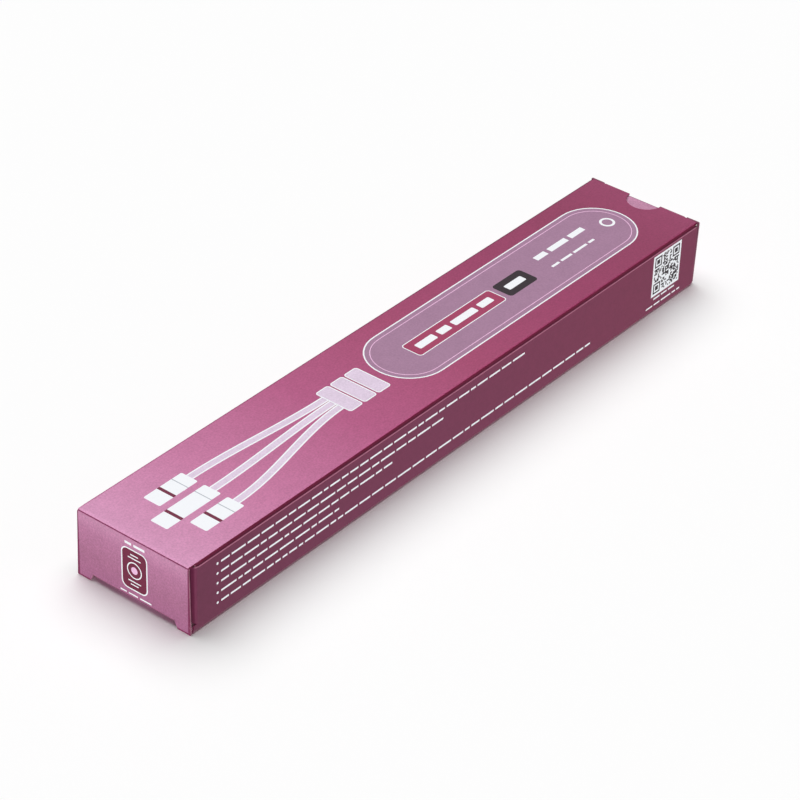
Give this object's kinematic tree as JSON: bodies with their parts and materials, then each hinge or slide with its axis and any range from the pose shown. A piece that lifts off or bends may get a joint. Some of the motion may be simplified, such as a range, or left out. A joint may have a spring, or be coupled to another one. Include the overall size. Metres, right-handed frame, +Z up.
{
  "type": "tuck end folding carton",
  "caption": "Long flat folding carton with slit-locked tuck closures hinged on opposite panels, thumb notches, dust flaps and a glued side seam.",
  "frame": {"origin": "centre of the bottom of the closed carton", "axes": "+X along the length to the rear end, whose lid is hinged on the bottom panel; +Y across, away from the seam side; +Z up"},
  "size_m": [0.2614, 0.046, 0.0248],
  "materials": {
    "printed_board": "coated board, printed outside, unprinted inside",
    "seam_glue": "dried dispersion glue"
  },
  "bodies": {
    "sleeve": {"carton_sleeve": "printed_board", "seam_glue": "seam_glue"},
    "front_closure": {"front_closure_flap": "printed_board"},
    "rear_closure": {"rear_closure_flap": "printed_board"}
  },
  "joints": [
    {"name": "front_closure_hinge", "type": "hinge", "parent": "sleeve", "child": "front_closure", "pos_m": [-0.13035, 0, 0.02445], "axis": [0, 1, 0], "range_deg": [0, 120]},
    {"name": "rear_closure_hinge", "type": "hinge", "parent": "sleeve", "child": "rear_closure", "pos_m": [0.13035, 0, 0.00035], "axis": [0, 1, 0], "range_deg": [0, 90]}
  ]
}
